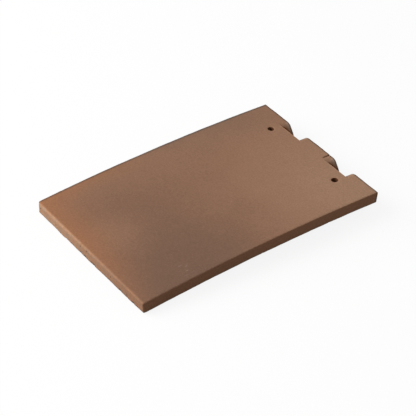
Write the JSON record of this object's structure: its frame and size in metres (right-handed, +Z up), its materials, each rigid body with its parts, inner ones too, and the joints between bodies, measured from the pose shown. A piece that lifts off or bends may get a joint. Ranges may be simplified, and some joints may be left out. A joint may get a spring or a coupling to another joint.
{
  "type": "plain clay roof tile",
  "caption": "Plain clay roof tile, cambered along its length, with pressed-down nibs at the head and nail holes.",
  "frame": {"origin": "on the floor, below the middle of the tile's box", "axes": "+Y from the tail to the head, +X across the tile, +Z up, out of the top face"},
  "size_m": [0.165, 0.2647, 0.0231],
  "materials": {
    "fired_clay": "matt sanded fired clay, flashed from orange to brown"
  },
  "bodies": {
    "root": {"roof_tile": "fired_clay"}
  },
  "joints": []
}
